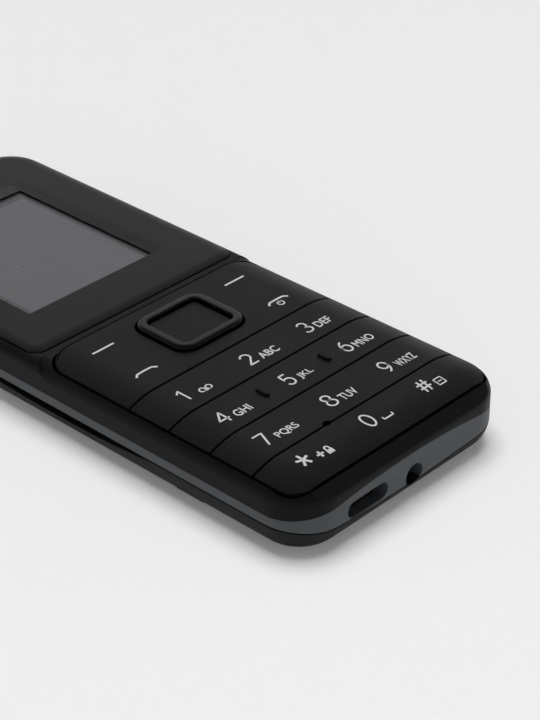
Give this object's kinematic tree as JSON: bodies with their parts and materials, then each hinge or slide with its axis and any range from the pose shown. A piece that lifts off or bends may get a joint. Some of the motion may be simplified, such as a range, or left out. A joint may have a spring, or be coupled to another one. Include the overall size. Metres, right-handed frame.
{
  "type": "bar phone with keypad",
  "caption": "Bar-type keypad phone with a small display window, full-width rocking key bars, a four-way ring with a middle button and a lift-off back cover.",
  "frame": {"origin": "centre of the flat back that the phone lies on", "axes": "+X to the right of the keys, +Y along the phone towards the earpiece end, +Z out of the keys"},
  "size_m": [0.0502, 0.123, 0.0139],
  "materials": {
    "front_cover": "fine satin black plastic",
    "mid_frame": "satin bluish grey plastic",
    "battery_cover": "fine-textured black plastic",
    "display_lens": "clear hard-coated plastic window",
    "window_mask": "black back print of the window",
    "lcd_glass": "unlit colour display",
    "lcd_backlight": "white moulded light frame",
    "lcd_gasket": "black foam",
    "lcd_flex": "amber flexible circuit",
    "nav_key_block": "satin black plastic with pale legends",
    "dpad_ring": "glossy black plastic",
    "ok_button": "satin black plastic",
    "key_strip_123": "satin black plastic with pale legends",
    "key_strip_456": "satin black plastic with pale legends",
    "key_strip_789": "satin black plastic with pale legends",
    "key_strip_star_zero_hash": "satin black plastic with pale legends",
    "web_123": "translucent white silicone",
    "web_456": "translucent white silicone",
    "web_789": "translucent white silicone",
    "web_star_zero_hash": "translucent white silicone",
    "nav_web": "translucent white silicone",
    "dpad_web": "translucent white silicone",
    "keymat_base": "translucent white silicone",
    "dome_sheet": "thin polyester film",
    "metal_domes": "spring steel",
    "main_board": "green circuit board",
    "connector_board": "green circuit board",
    "processor_shield": "tinned steel can",
    "radio_shield": "tinned steel can",
    "sim_holders": "stamped stainless steel",
    "memory_card_holder": "stamped stainless steel",
    "microphone": "small metal can",
    "usb_shell": "nickel-plated steel",
    "usb_tongue": "black moulding",
    "audio_jack": "black moulding",
    "earpiece": "black moulding",
    "earpiece_mesh": "black woven mesh",
    "loudspeaker": "black moulding with a film cone",
    "vibration_motor": "steel can",
    "battery": "wrapped lithium cell",
    "battery_contacts": "black moulding with sprung contacts",
    "antenna": "thin printed film",
    "housing_screws": "black zinc-plated steel"
  },
  "bodies": {
    "rear_cover": {"battery_cover": "battery_cover"},
    "housing": {"front_cover": "front_cover", "mid_frame": "mid_frame", "display_lens": "display_lens", "window_mask": "window_mask", "lcd_glass": "lcd_glass", "lcd_backlight": "lcd_backlight", "lcd_gasket": "lcd_gasket", "lcd_flex": "lcd_flex", "keymat_base": "keymat_base", "dome_sheet": "dome_sheet", "metal_domes": "metal_domes", "main_board": "main_board", "connector_board": "connector_board", "processor_shield": "processor_shield", "radio_shield": "radio_shield", "sim_holders": "sim_holders", "memory_card_holder": "memory_card_holder", "microphone": "microphone", "usb_shell": "usb_shell", "usb_tongue": "usb_tongue", "audio_jack": "audio_jack", "earpiece": "earpiece", "earpiece_mesh": "earpiece_mesh", "loudspeaker": "loudspeaker", "vibration_motor": "vibration_motor", "battery": "battery", "battery_contacts": "battery_contacts", "antenna": "antenna", "housing_screws": "housing_screws"},
    "press_123": {"web_123": "web_123"},
    "bar_123": {"key_strip_123": "key_strip_123"},
    "press_456": {"web_456": "web_456"},
    "bar_456": {"key_strip_456": "key_strip_456"},
    "press_789": {"web_789": "web_789"},
    "bar_789": {"key_strip_789": "key_strip_789"},
    "press_star_zero_hash": {"web_star_zero_hash": "web_star_zero_hash"},
    "bar_star_zero_hash": {"key_strip_star_zero_hash": "key_strip_star_zero_hash"},
    "nav_rocker": {"nav_web": "nav_web"},
    "nav_keys": {"nav_key_block": "nav_key_block"},
    "ring_rocker": {"dpad_web": "dpad_web"},
    "ring": {"dpad_ring": "dpad_ring"},
    "middle_button": {"ok_button": "ok_button"}
  },
  "joints": [
    {"name": "cover_lift", "type": "slide", "parent": "rear_cover", "child": "housing", "axis": [0, 0, 1], "range_m": [0, 0.02]},
    {"name": "press_123", "type": "slide", "parent": "housing", "child": "press_123", "axis": [0, 0, -1], "range_m": [0, 0.0003], "stiffness_N_per_m": 1500},
    {"name": "rock_123", "type": "hinge", "parent": "press_123", "child": "bar_123", "pos_m": [0, -0.0277, 0.0106], "axis": [0, 1, 0], "range_deg": [-0.7, 0.7], "stiffness_Nm_per_rad": 0.6},
    {"name": "press_456", "type": "slide", "parent": "housing", "child": "press_456", "axis": [0, 0, -1], "range_m": [0, 0.0003], "stiffness_N_per_m": 1500},
    {"name": "rock_456", "type": "hinge", "parent": "press_456", "child": "bar_456", "pos_m": [0, -0.0367, 0.0106], "axis": [0, 1, 0], "range_deg": [-0.7, 0.7], "stiffness_Nm_per_rad": 0.6},
    {"name": "press_789", "type": "slide", "parent": "housing", "child": "press_789", "axis": [0, 0, -1], "range_m": [0, 0.0003], "stiffness_N_per_m": 1500},
    {"name": "rock_789", "type": "hinge", "parent": "press_789", "child": "bar_789", "pos_m": [0, -0.0457, 0.0106], "axis": [0, 1, 0], "range_deg": [-0.7, 0.7], "stiffness_Nm_per_rad": 0.6},
    {"name": "press_star_zero_hash", "type": "slide", "parent": "housing", "child": "press_star_zero_hash", "axis": [0, 0, -1], "range_m": [0, 0.0003], "stiffness_N_per_m": 1500},
    {"name": "rock_star_zero_hash", "type": "hinge", "parent": "press_star_zero_hash", "child": "bar_star_zero_hash", "pos_m": [0, -0.05462, 0.0106], "axis": [0, 1, 0], "range_deg": [-0.7, 0.7], "stiffness_Nm_per_rad": 0.6},
    {"name": "nav_side_tilt", "type": "hinge", "parent": "housing", "child": "nav_rocker", "pos_m": [0, -0.013, 0.0104], "axis": [0, 1, 0], "range_deg": [-0.7, 0.7], "stiffness_Nm_per_rad": 0.9},
    {"name": "nav_fore_tilt", "type": "hinge", "parent": "nav_rocker", "child": "nav_keys", "pos_m": [0, -0.013, 0.0106], "axis": [1, 0, 0], "range_deg": [-0.8, 0.8], "stiffness_Nm_per_rad": 0.6},
    {"name": "ring_fore_tilt", "type": "hinge", "parent": "housing", "child": "ring_rocker", "pos_m": [0, -0.013, 0.0103], "axis": [1, 0, 0], "range_deg": [-2.5, 2.5], "stiffness_Nm_per_rad": 0.12},
    {"name": "ring_side_tilt", "type": "hinge", "parent": "ring_rocker", "child": "ring", "pos_m": [0, -0.013, 0.0108], "axis": [0, 1, 0], "range_deg": [-2.5, 2.5], "stiffness_Nm_per_rad": 0.12},
    {"name": "ok_press", "type": "slide", "parent": "housing", "child": "middle_button", "axis": [0, 0, -1], "range_m": [0, 0.0003], "stiffness_N_per_m": 1500}
  ]
}
